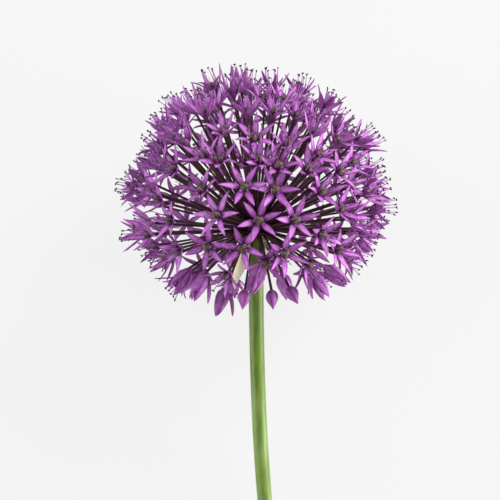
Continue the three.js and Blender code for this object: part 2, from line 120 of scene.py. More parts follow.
# Front florets, as they are seen: right of the hub and above it, in the plane of the hub. The
# nearest ones also give the turn of their star.
NEAR_FLORETS = [MM, MM, DEG] * np.array([
    [0.7, 2.6, 15], [14.9, 3.0, 9], [7.1, 14.5, 0], [-4.8, 15.3, 0], [-14.9, 4.5, -7],
    [-18.5, -7.1, 20], [-5.4, -8.0, 45], [10.4, -9.7, 30], [4.0, -13.3, 10],
])
FRONT_FLORETS = MM * np.array([
    [-11.2, -17.5], [31.8, -8.3], [25.0, -2.4], [36.2, 3.4],
    [25.0, 13.8], [19.8, 22.2], [23.7, 28.2], [37.2, 25.3], [30.4, 33.3], [22.0, 36.3],
    [12.2, 31.7], [8.2, 24.0], [-0.6, 34.6], [1.5, 25.4], [-12.3, 37.2], [-14.4, 26.0],
    [-27.0, 33.0], [-31.9, 23.2], [-21.1, 14.8], [-37.0, 10.3], [-32.5, 2.9], [-41.4, 2.2],
    [-33.6, -10.6], [41.5, -6.0], [43.5, 5.7], [36.9, -11.4], [15.1, 42.3], [-15.9, 45.6],
])
# Fringe: the half-open florets and buds that hang low in front. Each foot is right of, before
# and above the hub, and the last number is how far the floret swings to the right.
HANGING_BELLS = [MM, MM, MM, DEG] * np.array([
    [-24.7, 12.0, -15.2, -35], [-18.5, 16.0, -16.8, -26], [-11.0, 11.5, -22.0, -19],
    [1.8, 19.0, -13.8, -23], [20.4, 15.5, -16.4, 31], [25.1, 14.5, -14.2, 53],
])
HANGING_BUDS = [MM, MM, MM, DEG] * np.array([
    [-4.1, 16.0, -22.3, -7], [5.6, 11.0, -22.4, 5], [11.9, 12.0, -21.2, 28],
])
FORWARD = 0.3  # how far the hanging ones lean to the front
VIEW_DISTANCE = 620 * MM
OVARY_LIFT = 1.045  # an ovary's distance from the hub, over its foot's
SIGHT_TRIES = 8
BACK_SHARE = 0.3  # florets further back than this share of the shell keep their place
ELBOW_ROOM = 0.36
PARTING_STEPS = 30
PARTING_STRENGTH = 0.12

# Younger florets, between the others, that the solids leave out. All of those on the crown are
# there, and a share of those between it and the lower limit that don't face ahead.
YOUNG_FLORETS = 78
YOUNG_AZIMUTH = 200 * DEG
YOUNG_LIMIT = 126 * DEG
YOUNG_FROM_FRONT = 45 * DEG
YOUNG_ON_CROWN = 74 * DEG
YOUNG_SHARE = 0.7

# Pedicels
PEDICEL_ROOT = 1.5 * MM
PEDICEL_ELBOW = 5.5 * MM
ELBOW_END = 0.35
LEVEL = 95 * DEG
TURN = 0.32
NECK = 1.2 * MM

# Farthest reach and height of each habit's tips over the floret's foot, as the solids have them
OPEN_TIP = (8.5 * MM, 4.1 * MM)
RAISED_TIP = (5.3 * MM, 7.8 * MM)
BELL_TIP = (2.1 * MM, 10.4 * MM)
BUD_TIP = (0.0, 7.6 * MM)

# Middle lines of the finer shapes, as [distance from the floret's axis, height over its foot]
OPEN_LINE = MM * np.array([[0.7, 0.35], [3.2, 0.9], [5.6, 3.3], [8.5, 3.9]])
RAISED_LINE = MM * np.array([[0.7, 0.35], [2.7, 0.9], [3.9, 4.6], [5.3, 7.8]])
RAISING = 0.5  # open florets but the nearest lie between OPEN_LINE and RAISED_LINE
RAISING_SPREAD = 0.35
CROWN_RAISING = 0.3  # and nearer to RAISED_LINE on the crown
BELL_LINE = MM * np.array([[0.7, 0.3], [3.3, 0.9], [3.7, 6.0], [0.9, 11.0]])
LOOSENING = MM * np.array([[0, 0], [0, 0], [1.8, 0], [4.6, -1.8]])  # of a bell's loose tepals
FILAMENT_LINES = {  # of each habit, from its lowest florets to its most raised ones
    "open": (
        MM * np.array([[1.35, 0.7], [2.15, 2.0], [2.3, 4.6], [2.8, 7.6]]),
        MM * np.array([[1.35, 0.7], [2.05, 2.2], [2.0, 5.4], [2.3, 8.6]]),
    ),
    "bell": 2 * (MM * np.array([[1.2, 0.7], [1.8, 2.2], [1.4, 5.0], [0.9, 7.8]]),),
}

# Spathe valves: azimuth, width, and middle line as [distance from the scape's axis, depth]
VALVES = {
    "left": (-60 * DEG, 12 * MM, MM * np.array([[4.1, 5.2], [7.6, 8.6], [11, 14], [9, 22.5]])),
    "right": (74 * DEG, 8 * MM, MM * np.array([[4.1, 5.2], [10, 7.4], [17, 10], [23, 16]])),
    "rear": (172 * DEG, 8 * MM, MM * np.array([[4.1, 5.2], [9, 8.6], [14, 13], [18, 20]])),
}
PUSHES = DEG * np.array([  # for each valve, from and to which angle from the crown, and how far
    [146, 180, 44],
    [108, 146, 32],
    [116, 158, 25],
])
VALVE_TIP_WIDTH = 0.7 * MM
VALVE_BASE = 0.1

# Camera: the picture is square, and takes in this width at the distance of the hub
PICTURE_WIDTH = 186.5 * MM
SENSOR_WIDTH = 36.0
HUB_IN_PICTURE = (2.24 * MM, 7.83 * MM)  # right of the picture's centre, and above it
CLIP_START = 10 * MM

# Stage, in metres and watts. Lights: place, size, power and tint
TABLE_HALF = 1.5
WORLD_LIGHT = 0.50
LIGHTS = {
    "key_light": ((0.62, 0.56, 0.55), 0.45, 12.0, (1, 0.985, 0.96)),
    "rim_light": ((0.95, -0.15, 0.22), 0.35, 11.5, (1, 1, 1)),
    "fill_light": ((-0.85, 0.05, 0.32), 0.7, 9.0, (0.97, 0.98, 1)),
}

HUB_HEIGHT = SCAPE_LENGTH * np.sin(LEAN) + SCAPE_RADIUS * np.cos(LEAN)
UP_FROM_TABLE = np.array([0.0, -np.cos(LEAN), np.sin(LEAN)])


# ---- numbers and vectors

def draw(i, k):
    """A steady draw from 0 to 1: the fraction of a fast sine of the number i and purpose k."""
    wave = np.sin(i * 127.1 + k * 311.7 + SEED) * 43758.5453
    return wave - np.floor(wave)


def spread(i, k):
    """The same draw, spread from -1 to 1."""
    return 2 * draw(i, k) - 1


def lerp(start, end, share):
    """The value that lies at a share of the way from start to end."""
    return start + (end - start) * share


def smoothstep(value, low, high):
    """0 below low, 1 above high, and 3t^2 - 2t^3 between them."""
    t = np.clip((value - low) / (high - low), 0, 1)
    return t * t * (3 - 2 * t)


def dot(a, b):
    """Dot product over the last axis, which is kept."""
    return np.sum(a * b, axis=-1, keepdims=True)


def unit(vectors):
    """The vectors, divided by their lengths."""
    return vectors / np.sqrt(dot(vectors, vectors))


def direction(from_crown, azimuth):
    """Unit vectors at an angle from the crown, turned by azimuth from the front to the right."""
    out = np.sin(from_crown)
    return np.stack([out * np.sin(azimuth), -out * np.cos(azimuth), np.cos(from_crown)], -1)


def bezier(points, share):
    """Cubic Bezier curves with control points (..., 4, d) at the shares (r,): the weighted sum
    of the points with Bernstein's weights, and the slope with the derivatives of the weights."""
    s, t = share, 1 - share
    weights = np.stack([t**3, 3 * s * t**2, 3 * s**2 * t, s**3])
    slopes = np.stack([-3 * t**2, 3 * t**2 - 6 * s * t, 6 * s * t - 3 * s**2, 3 * s**2])
    return (
        np.einsum("kr,...kd->...rd", weights, points),
        np.einsum("kr,...kd->...rd", slopes, points),
    )


def height_as_laid(points):
    """Height over the table of points of the upright flower."""
    return HUB_HEIGHT + points @ UP_FROM_TABLE


def eased_off_table(points, clearance=0.0):
    """Points bent up where they would pass the table: a height h over the clearance becomes
    s ln(1 + exp(h / s)), which is h well above it and comes down to 0 far below it."""
    height = height_as_laid(points) - clearance
    eased = SOFTNESS * np.logaddexp(0, height / SOFTNESS)
    return points + (eased - height)[..., None] * UP_FROM_TABLE


def as_laid(points):
    """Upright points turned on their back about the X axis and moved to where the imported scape
    lies: its cut end gives the place along the flower, its swollen top the place across."""
    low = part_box("scape")[0]
    x, y, z = np.moveaxis(points, -1, 0)
    return np.stack([
        x + low.x + SCAPE_TOP_RADIUS,
        y * np.sin(LEAN) + z * np.cos(LEAN)
        + low.y + SCAPE_LENGTH * np.cos(LEAN) + SCAPE_RADIUS * np.sin(LEAN),
        z * np.sin(LEAN) - y * np.cos(LEAN) + low.z + HUB_HEIGHT,
    ], -1)


# ---- where the florets stand

def beside_valves(from_crown, azimuth):
    """Azimuths, moved aside where a pedicel would pass through a spathe valve."""
    clear = azimuth
    for (middle, _, _), (start, end, aside) in zip(VALVES.values(), PUSHES):
        off = np.arctan2(np.sin(azimuth - middle), np.cos(azimuth - middle))
        hit = (from_crown > start) & (from_crown < end) & (np.abs(off) < aside)
        clear = np.where(hit, middle + np.where(off < 0, -aside, aside), clear)
    return clear


def shell_place(latitude):
    """Angle from the crown as seen from the hub, and distance from it, of places on the shell
    that the feet stand on. Both halves are superellipses, the lower one the boxier."""
    cosine = np.cos(latitude)
    power = 2 / np.where(cosine < 0, LOWER_SQUARENESS, UPPER_SQUARENESS)
    out = SHELL_SIDE * np.sin(latitude) ** power
    above = HEAD_CENTRE + np.where(cosine < 0, -SHELL_DOWN, SHELL_UP) * np.abs(cosine) ** power
    return np.arctan2(out, above), np.hypot(out, above)


def seen_on_shell(right, above):
    """Latitude and azimuth of places on the front of the shell from where they are seen. The
    height gives the latitude, and the way to the right, over the shell's width there, the
    azimuth. What stands nearer is seen larger, so the depth is worked out a few times over."""
    depth = 0.7 * SHELL_SIDE
    for _ in range(SIGHT_TRIES):
        true = (1 - OVARY_LIFT * depth / VIEW_DISTANCE) / OVARY_LIFT
        above_centre = above * true - HEAD_CENTRE
        power = np.where(above_centre < 0, LOWER_SQUARENESS, UPPER_SQUARENESS) / 2
        reach = np.where(above_centre < 0, SHELL_DOWN, SHELL_UP)
        cosine = np.sign(above_centre) * np.minimum(1, np.abs(above_centre) / reach) ** power
        latitude = np.arccos(cosine)
        out = SHELL_SIDE * np.sin(latitude) ** (1 / power)
        azimuth = np.arcsin(np.clip(right * true / out, -1, 1))
        depth = out * np.cos(azimuth)
    return latitude, azimuth


def spiral(count, first_azimuth, seed):
    """Latitudes and azimuths by the golden angle, each strayed a little by its draws."""
    i = np.arange(count)
    depth = (i + 0.5) / count * (1 + np.cos(BARE_CAP))
    latitude = np.arccos(1 - depth) + WANDER * spread(i + seed, 1)
    azimuth = first_azimuth + i * GOLDEN_ANGLE + WANDER * spread(i + seed, 2) / np.sin(latitude)
    return latitude, azimuth


def parted(ways, held):
    """Unit directions pushed apart: each that isn't held moves away from all the others nearer
    than ELBOW_ROOM, in many small steps."""
    for _ in range(PARTING_STEPS):
        away = ways[:, None] - ways[None]
        gap = np.sqrt(np.sum(away**2, axis=-1))
        push = np.maximum(0, 1 - gap / ELBOW_ROOM)[..., None] * away
        moved = unit(ways + PARTING_STRENGTH * push.sum(axis=1))
        ways = np.where(held[:, None], ways, moved)
    return ways


def plan_florets():
    """Place, facing, turn and habit of every floret. Their feet follow a spiral by the golden
    angle over the shell. The nearest one to each of the front florets takes its place, and the
    others in front part again. The young florets then find room between them. Those that would
    pass the table are drawn back."""
    latitude, azimuth = spiral(FLORETS, FIRST_AZIMUTH, 0)
    ways = direction(latitude, azimuth)
    hanging = np.concatenate([HANGING_BELLS, HANGING_BUDS])
    hanging_feet = hanging[:, :3] * [1, -1, 1]
    seen = np.concatenate([NEAR_FLORETS[:, :2], FRONT_FLORETS])
    front = np.concatenate([
        unit((hanging_feet - [0, 0, HEAD_CENTRE]) / [SHELL_SIDE, SHELL_SIDE, SHELL_DOWN]),
        direction(*seen_on_shell(seen[:, 0], seen[:, 1])),
    ])
    place = np.full(FLORETS, -1)
    for k, way in enumerate(front):
        place[np.argmax(np.where(place < 0, ways @ way, -2))] = k
    ways = np.where(place[:, None] < 0, ways, front[place])
    ways = parted(ways, (place >= 0) | (ways[:, 1] > BACK_SHARE))
    pressed = ways[:, 1] > BACK_SHARE

    latitude, azimuth = spiral(YOUNG_FLORETS, YOUNG_AZIMUTH, FLORETS)
    ways = np.concatenate([ways, direction(latitude, azimuth)])
    i = np.arange(len(ways))
    ways = parted(ways, i < FLORETS)
    kept = (ways[:, 2] > np.cos(YOUNG_LIMIT)) & (-ways[:, 1] < np.cos(YOUNG_FROM_FRONT))
    kept &= draw(i, 9) < YOUNG_SHARE
    kept |= (ways[:, 2] > np.cos(YOUNG_ON_CROWN)) | (i < FLORETS)
    ways, i = ways[kept], i[kept]
    place = np.concatenate([place, np.full(len(i) - FLORETS, -1)])
    pressed = np.concatenate([pressed, ways[FLORETS:, 1] > BACK_SHARE])
    free = place < 0

    latitude = np.arccos(ways[:, 2])
    azimuth = np.arctan2(ways[:, 0], -ways[:, 1])
    from_crown, length = shell_place(latitude)
    azimuth = np.where(free, beside_valves(from_crown, azimuth), azimuth)
    length = length + np.where(free, STAGGER * (i % 3 - 1), 0) + UNEVENNESS * spread(i, 3)
    foot = direction(from_crown, azimuth) * length[:, None]
    facing = direction(from_crown + NOD * spread(i, 5), azimuth + NOD * spread(i, 6))
    facing[:, 2] -= DROOP * smoothstep(-np.cos(from_crown), 0.1, 0.9)
    roll = draw(i, 7) * 2 * np.pi

    hangs = (place >= 0) & (place < len(hanging))
    foot[hangs] = hanging_feet[place[hangs]]
    swing = hanging[place[hangs], 3]
    facing[hangs] = np.stack([np.sin(swing), 0 * swing - FORWARD, -np.cos(swing)], -1)
    facing = unit(facing)
    from_crown = np.arccos(unit(foot)[:, 2])
    azimuth = np.arctan2(foot[:, 0], -foot[:, 1])
    near = (place >= len(hanging)) & (place < len(hanging) + len(NEAR_FLORETS))
    roll[near] = NEAR_FLORETS[place[near] - len(hanging), 2]

    from_scape = np.pi - from_crown
    low_bud = (from_scape < BUD_ZONE) & (draw(i, 4) < BUD_SHARE)
    low_bell = (from_scape < BUD_ZONE) & ~low_bud
    half_open = (from_scape >= BUD_ZONE) & (from_scape < BELL_ZONE) & (draw(i, 4) < BELL_SHARE)
    bud = np.where(free, low_bud, hangs & (place >= len(HANGING_BELLS)))
    bell = np.where(free, low_bell | half_open, hangs & (place < len(HANGING_BELLS)))
    crown = smoothstep(np.cos(from_crown), 0.5, 0.9)
    raised = RAISING + RAISING_SPREAD * spread(i, 8) + CROWN_RAISING * crown
    raised = np.where(near | pressed, 0, np.clip(raised, 0, 1))
    open_tip = lerp(np.array(OPEN_TIP), np.array(RAISED_TIP), raised[:, None])
    tip = np.select([bud[:, None], bell[:, None]], [BUD_TIP, BELL_TIP], open_tip)

    step = -SETTLING_STEP * unit(foot)
    for _ in range(SETTLING_TRIES):
        centre = foot + facing * tip[:, 1:]
        sideways = np.sqrt(1 - (facing @ UP_FROM_TABLE) ** 2)
        low = height_as_laid(centre) - tip[:, 0] * sideways < -PRESS
        foot = foot + np.where(low[:, None], step, 0)

    turn = np.maximum(0, from_crown - LEVEL) * (1 - TURN)
    right = np.where(np.abs(facing[:, :1]) > 0.8, [0.0, 0.0, 1.0], [1.0, 0.0, 0.0])
    right = unit(right - dot(right, facing) * facing)
    roll = roll[:, None]
    right = right * np.cos(roll) + np.cross(facing, right) * np.sin(roll)
    return {
        "number": i,
        "foot": foot,
        "facing": facing,
        "right": right,
        "ahead": np.cross(facing, right),
        "root": direction(from_crown - turn, azimuth),
        "bent": turn > 0,
        "raised": raised,
        "bud": bud,
        "bell": bell,
        "open": ~(bud | bell),
    }


def chosen(plan, habit):
    """The plan of the florets of one habit only."""
    return {key: values[plan[habit]] for key, values in plan.items()}


def turns(count):
    """Evenly spaced angles, once round."""
    return np.arange(count) * 2 * np.pi / count


def tone_of(plan, parts=1):
    """The tone of each floret, the same for all its parts."""
    return np.repeat(draw(plan["number"], TONE_DRAW), parts)


def six_parts(plan, stray, purpose):
    """For six parts to a floret, a number for each, for its draws, and their angles round the
    floret (florets, 6), each strayed by its draw."""
    number = plan["number"][:, None] * TEPALS + np.arange(TEPALS)
    return number.ravel(), turns(TEPALS) + stray * spread(number, purpose)


def axes_of(plan, angles):
    """Axes for parts that stand round each floret, at angles (florets, parts): the foot, the way
    outwards, the way round and the floret's facing, each as (florets x parts, 3)."""
    cosine, sine = np.cos(angles)[..., None], np.sin(angles)[..., None]
    right, ahead = plan["right"][:, None], plan["ahead"][:, None]
    return (
        np.repeat(plan["foot"], angles.shape[1], axis=0),
        (right * cosine + ahead * sine).reshape(-1, 3),
        (ahead * cosine - right * sine).reshape(-1, 3),
        np.repeat(plan["facing"], angles.shape[1], axis=0),
    )


# ---- surfaces

def shell(rings, start, end, tones=0.5, lengths=None):
    """A batch of closed skins. Each has rings of points (n, rows, columns, 3), anticlockwise as
    seen from its end, and a pole at its start and its end (n, 3). lengths gives each row's place
    from 0 to 1 along the skin."""
    if lengths is None:
        lengths = np.linspace(0, 1, rings.shape[1] + 2)[1:-1]
    return rings, start, end, tones, np.concatenate([[0], lengths, [1]])


def skin_faces(rows, columns):
    """The faces of one skin, whose points run from the start pole over the rings to the end
    pole: a fan, the quads and a fan, each as its corners' points, their x in the UV map, which
    goes past 1 at the seam, and their rows."""
    points = np.zeros((rows + 2, columns), int)
    points[1:-1] = 1 + np.arange(rows * columns).reshape(rows, columns)
    points[-1] = rows * columns + 1
    for span, along, aside, x in (
        (range(1), (0, 1, 1), (0, 1, 0), (0.5, 1, 0)),
        (range(1, rows), (0, 0, 1, 1), (0, 1, 1, 0), (0, 1, 1, 0)),
        (range(rows, rows + 1), (0, 0, 1), (0, 1, 0), (0, 1, 0.5)),
    ):
        row, column = np.meshgrid(span, np.arange(columns), indexing="ij")
        row, column = row.reshape(-1, 1) + along, column.reshape(-1, 1)
        yield points[row, (column + aside) % columns], (column + x) / columns, row


def make_piece(name, shells, material, slot, *nodes):
    """Turns batches of closed skins into one object, laid as the frame lies. It rides on the
    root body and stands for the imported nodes."""
    points, faces, uvs, tones = [], [], [], []
    base = 0
    for rings, start, end, tone, y in shells:
        count, rows, columns, _ = rings.shape
        grid = np.concatenate([start[:, None], rings.reshape(count, -1, 3), end[:, None]], axis=1)
        size = grid.shape[1]
        points.append(as_laid(grid).reshape(-1, 3))
        tones.append(np.repeat(tone, size))
        for corners, x, row in skin_faces(rows, columns):
            corners = corners + base + size * np.arange(count)[:, None, None]
            faces += corners.reshape(-1, x.shape[1]).tolist()
            uvs.append(np.tile(np.stack([x, y[row]], -1).ravel(), count))
        base += size * count

    mesh = bpy.data.meshes.new(name)
    mesh.from_pydata(np.concatenate(points).tolist(), [], faces)
    mesh.uv_layers.new(name=UV_MAP).data.foreach_set("uv", np.concatenate(uvs))
    mesh.attributes.new(TONE, "FLOAT", "POINT").data.foreach_set("value", np.concatenate(tones))
    mesh.shade_smooth()
    mesh.materials.append(material)
    piece = bpy.data.objects.new(name, mesh)
    bpy.context.scene.collection.objects.link(piece)
    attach(piece, "root")
    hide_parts(*nodes)


def in_plane(outwards, facing, flat):
    """Vectors from [distance, height] pairs (n, rows, 2), along two axes (n, 3)."""
    return outwards[:, None] * flat[..., :1] + facing[:, None] * flat[..., 1:]


def round_tube(line, slope, radii, columns, side):
    """Rings of a tube round a line (n, rows, 3): at each row a circle of that row's radius,
    square to the slope, whose first point lies on the given side."""
    along = unit(slope)
    first = unit(side[:, None] - dot(side[:, None], along) * along)
    second = np.cross(along, first)
    angle = turns(columns)[:, None]
    return line[..., None, :] + radii[..., None, None] * (
        first[..., None, :] * np.cos(angle) + second[..., None, :] * np.sin(angle)
    )


def turned_form(plan, profile, low, high, columns, lobes, depth, tones, lengths=None):
    """A form turned about each floret's axis, with its poles at the heights low and high. Its
    profile rows are [radius, height], and the radius swells and sinks by depth, that many times
    round."""
    foot, right, ahead, facing = (plan[key] for key in ("foot", "right", "ahead", "facing"))
    angle = turns(columns)
    radius = profile[:, :1] * (1 + depth * np.cos(lobes * angle))
    across = right[:, None] * np.cos(angle)[:, None] + ahead[:, None] * np.sin(angle)[:, None]
    rings = foot[:, None, None] + radius[None, ..., None] * across[:, None]
    rings = rings + facing[:, None, None] * profile[None, :, 1:, None]
    return shell(rings, foot + low * facing, foot + high * facing, tones, lengths)


def blades(plan, angles, lines, share, half_widths, thickness, channel, keel, twist, lean):
    """Pointed blades, bent up where they would pass the table. A blade's middle line (n, 4, 2)
    is a Bezier curve in the plane of its way outwards and its floret's facing, leaning sideways
    by lean times share squared. Its section is a lens: across by half_width cos(t), up by
    thickness sin(t), raised at the edges by channel cos(t)^2, and with a keel under the middle.
    It twists evenly to its tip."""
    foot, outwards, around, facing = axes_of(plan, angles)
    place, slope = bezier(lines, share)
    slope = unit(slope)
    sideways = (lean[:, None] * share**2)[..., None]
    middle = foot[:, None] + in_plane(outwards, facing, place) + around[:, None] * sideways
    normal = facing[:, None] * slope[..., :1] - outwards[:, None] * slope[..., 1:]
    turned = (twist[:, None] * share)[..., None]
    across = around[:, None] * np.cos(turned) + normal * np.sin(turned)
    upwards = normal * np.cos(turned) - around[:, None] * np.sin(turned)
    width = half_widths[..., None]
    cosine, sine = np.cos(turns(BLADE_COLUMNS)), np.sin(turns(BLADE_COLUMNS))
    up = thickness * np.minimum(1, 3 * width / np.max(width)) * sine * (1 + keel * (sine < -0.9))
    up = up + channel * width * cosine**2
    rings = (
        middle[..., None, :] + across[..., None, :] * (width * cosine)[..., None]
        + upwards[..., None, :] * up[..., None]
    )
    tip = foot + in_plane(outwards, facing, lines[:, 3:])[:, 0] + around * lean[:, None]
    skin = (eased_off_table(points) for points in (rings, rings[:, 0].mean(axis=1), tip))
    return shell(*skin, tone_of(plan, TEPALS), share)


# ---- materials

class Wire:
    """A socket of a material's node tree. Arithmetic on it adds Math nodes."""

    def __init__(self, tree, socket=None):
        self.tree = tree
        self.socket = socket

    def node(self, kind, settings=None, inputs=None, output=0):
        """Adds a node of a type: first its settings, then the values or links of its sockets.
        Gives one of its outputs."""
        made = self.tree.nodes.new(kind)
        for key, value in (settings or {}).items():
            setattr(made, key, value)
        for key, value in (inputs or {}).items():
            if isinstance(value, Wire):
                self.tree.links.new(value.socket, made.inputs[key])
            else:
                made.inputs[key].default_value = value
        return Wire(self.tree, made.outputs[output])

    def math(self, operation, first, second=0.0):
        """A Math node on two values or links."""
        return self.node("ShaderNodeMath", {"operation": operation}, {0: first, 1: second})

    def __add__(self, other):
        return self.math("ADD", self, other)

    def __sub__(self, other):
        return self.math("SUBTRACT", self, other)

    def __rsub__(self, other):
        return self.math("SUBTRACT", other, self)

    def __mul__(self, other):
        return self.math("MULTIPLY", self, other)

    __radd__ = __add__
    __rmul__ = __mul__

    def __abs__(self):
        return self.math("ABSOLUTE", self)

    def cosine(self):
        """Its cosine."""
        return self.math("COSINE", self)

    def sine(self):
        """Its sine."""
        return self.math("SINE", self)

    def step(self, low, high):
        """0 below low, 1 above high, and smooth between them."""
        return self.node(
            "ShaderNodeMapRange",
            {"interpolation_type": "SMOOTHSTEP"},
            {"Value": self, "From Min": low, "From Max": high},
        )

    def mix(self, first, second):
        """A colour between two colours or links, by this share."""
        first, second = (c if isinstance(c, Wire) else (*c, 1) for c in (first, second))
        return self.node(
            "ShaderNodeMix", {"data_type": "RGBA"}, {0: self, 6: first, 7: second}, output=2
        )

    def noise(self, scale, detail, stretch=(1, 1, 1)):
        """Noise from 0 to 1 at this place, whose three axes may be stretched."""
        mapped = self.node(
            "ShaderNodeVectorMath", {"operation": "MULTIPLY"}, {0: self, 1: stretch}
        )
        inputs = {"Vector": mapped, "Scale": scale, "Detail": detail}
        return self.node("ShaderNodeTexNoise", {}, inputs)

    def bump(self, strength, distance):
        """A normal that follows this height."""
        inputs = {"Strength": strength, "Distance": distance, "Height": self}
        return self.node("ShaderNodeBump", {}, inputs)


class Tissue:
    """A new material whose Principled shader holds the constants, and what its pattern reads:
    the place in the object, the turn round the section, the share along it and the tone."""

    def __init__(self, name, **constants):
        self.material = bpy.data.materials.new(name)
        self.material.use_nodes = True
        tree = self.material.node_tree
        self.shader = next(node for node in tree.nodes if node.type == "BSDF_PRINCIPLED")
        for key, value in constants.items():
            self.socket(key).default_value = value
        start = Wire(tree)
        self.place = start.node("ShaderNodeTexCoord", output="Object")
        uv = start.node("ShaderNodeUVMap", {"uv_map": UV_MAP})
        self.turn = start.node("ShaderNodeSeparateXYZ", {}, {0: uv})
        self.along = Wire(tree, self.turn.socket.node.outputs[1])
        self.tone = start.node("ShaderNodeAttribute", {"attribute_name": TONE}, output="Fac")

    def socket(self, key):
        """A socket of the shader, named with underscores for spaces."""
        return self.shader.inputs[key.replace("_", " ")]

    def finished(self, **links):
        """The material, with Wires linked to the shader's sockets."""
        for key, wire in links.items():
            wire.tree.links.new(wire.socket, self.socket(key))
        return self.material


def tepal_material(colours):
    """Violet tissue: paler blotches along its middle with a painted sheen over its outer part,
    deeper edges and tip, painted shade at its foot and on its underside, a fine dark midrib, veins
    along the blade, and each floret a little lighter or darker."""
    it = Tissue(
        "violet_tepal", Subsurface_Weight=0.18, Subsurface_Radius=(1.0, 0.30, 1.0),
        Subsurface_Scale=0.8 * MM, Sheen_Weight=0.05, Sheen_Roughness=0.45,
        Specular_IOR_Level=0.30,
    )
    angle = it.turn * (2 * np.pi)
    across = angle.cosine()
    # random paler blotches, and a painted sheen from the middle of the tepal outwards
    light = it.place.noise(420, 3).step(0.30, 0.70) * 0.55 + it.along.step(0.1, 0.5) * 0.35
    skin = light.mix(colours.tepal, colours.tepal_pale_and_highlight)
    skin = (abs(across).step(0.35, 0.85) * 0.80).mix(skin, colours.tepal_deep)
    rib = (1 - abs(across).step(0.0, 0.14)) * (1 - it.along.step(0.5, 0.9)) * 0.45
    skin = rib.mix(skin, colours.tepal_dark_and_shade)
    skin = (it.along.step(0.72, 1.0) * 0.45).mix(skin, colours.tepal_deep)
    # painted shade at the foot of the tepal, where it meets the cup
    skin = ((1 - it.along.step(0.02, 0.30)) * 0.8).mix(skin, colours.tepal_dark_and_shade)
    # painted shade on the underside of the tepal
    skin = ((1 - angle.sine().step(-0.35, 0.35)) * 0.25).mix(skin, colours.tepal_dark_and_shade)
    skin = (it.tone.step(0.45, 1.0) * 0.30).mix(skin, colours.tepal_dark_and_shade)
    skin = ((1 - it.tone.step(0.0, 0.5)) * 0.18).mix(skin, colours.tepal_pale_and_highlight)
    vein = (across * 21.0).cosine() * 0.5 + 0.5
    ripple = vein * 0.6 + it.place.noise(1500, 2) * 0.7
    roughness = 0.40 + it.place.noise(900, 2) * 0.22
    return it.finished(
        Base_Color=skin, Roughness=roughness, Normal=ripple.bump(0.35, 0.08 * MM)
    )


def bud_material(colours):
    """Closed buds: violet, with six darker seams where the tepals meet, a painted highlight on the
    ridges from the middle to the tip, and painted shade at the base.
    """
    it = Tissue(
        "violet_bud", Subsurface_Weight=0.10, Subsurface_Radius=(1.0, 0.45, 1.0),
        Subsurface_Scale=0.6 * MM, Sheen_Weight=0.10,
    )
    ridge = (it.turn * (2 * np.pi * TEPALS)).cosine() * 0.5 + 0.5
    skin = (ridge.step(0.0, 0.6) * 0.5 + 0.5).mix(colours.tepal_dark_and_shade, colours.bud)
    # painted highlight on the ridges of the bud's upper part
    paler = ridge.step(0.75, 1.0) * it.along.step(0.2, 0.7) * 0.3
    skin = paler.mix(skin, colours.tepal_pale_and_highlight)
    # painted shade at the base of the bud
    skin = ((1 - it.along.step(0.05, 0.35)) * 0.6).mix(skin, colours.tepal_dark_and_shade)
    skin = (it.tone * 0.25).mix(skin, colours.tepal_dark_and_shade)
    ripple = it.place.noise(1300, 3) + ridge * 0.8
    roughness = 0.42 + it.place.noise(900, 2) * 0.2
    return it.finished(
        Base_Color=skin, Roughness=roughness, Normal=ripple.bump(0.4, 0.10 * MM)
    )


def filament_material(colours):
    """Filaments: dark and broad at the base, lilac towards the anther."""
    it = Tissue("lilac_filament", Subsurface_Weight=0.1, Subsurface_Scale=0.4 * MM)
    skin = it.along.step(0.05, 0.55).mix(colours.tepal_dark_and_shade, colours.filament)
    skin = (it.place.noise(800, 2) * 0.4).mix(skin, colours.tepal)
    return it.finished(Base_Color=skin, Roughness=0.45 + it.tone * 0.1)


def anther_material(colours):
    """Ripe anthers: blackish, with a groove and a dusting of grey-green pollen."""
    it = Tissue("dusty_anther")
    dust = it.place.noise(5200, 3)
    skin = (dust.step(0.45, 0.7) * 0.55).mix(colours.anther, colours.pollen)
    ripple = dust + (it.turn * (4 * np.pi)).cosine() * 0.4
    return it.finished(
        Base_Color=skin, Roughness=0.7 + dust * 0.2, Normal=ripple.bump(0.6, 0.08 * MM)
    )


def ovary_material(colours):
    """Ovaries: olive and warty, with painted shade in the grooves between the three lobes, between
    the warts and at the base.
    """
    it = Tissue("warty_ovary", Specular_IOR_Level=0.4)
    lobe = (it.turn * (6 * np.pi)).cosine() * 0.5 + 0.5
    wart = it.place.noise(2600, 3)
    # painted shade in the grooves between the lobes and between the warts
    skin = (lobe.step(0.0, 0.8) * wart.step(0.30, 0.62)).mix(colours.ovary_shade, colours.ovary)
    # painted shade at the base of the ovary, among the filaments
    skin = ((1 - it.along.step(0.1, 0.5)) * 0.8).mix(skin, colours.ovary_shade)
    ripple = wart * 1.2 + lobe * 0.3
    return it.finished(
        Base_Color=skin, Roughness=0.45 + wart * 0.25, Normal=ripple.bump(0.8, 0.15 * MM)
    )


def pedicel_material(colours):
    """Pedicels: dark maroon, with lighter streaks that are partly browner tissue and partly painted
    highlight, painted shade near the hub, and flushed violet under the floret.
    """
    it = Tissue("maroon_pedicel", Specular_IOR_Level=0.2)
    streak = it.place.noise(260, 3)
    # lighter streaks: partly browner tissue, partly painted highlight
    skin = streak.step(0.42, 0.72).mix(colours.pedicel, colours.pedicel_brown_and_highlight)
    skin = (it.tone.step(0.3, 1.0) * 0.35).mix(skin, colours.pedicel)
    # painted shade on the pedicels near the hub, where they crowd together
    skin = ((1 - it.along.step(0.0, 0.5)) * 0.75).mix(skin, colours.pedicel_core_shade)
    skin = (it.along.step(0.86, 0.99) * 0.6).mix(skin, colours.tepal_dark_and_shade)
    ripple = (it.turn * (12 * np.pi)).cosine() * 0.3 + it.place.noise(1800, 2)
    return it.finished(
        Base_Color=skin, Roughness=0.38 + streak * 0.2, Normal=ripple.bump(0.4, 0.08 * MM)
    )


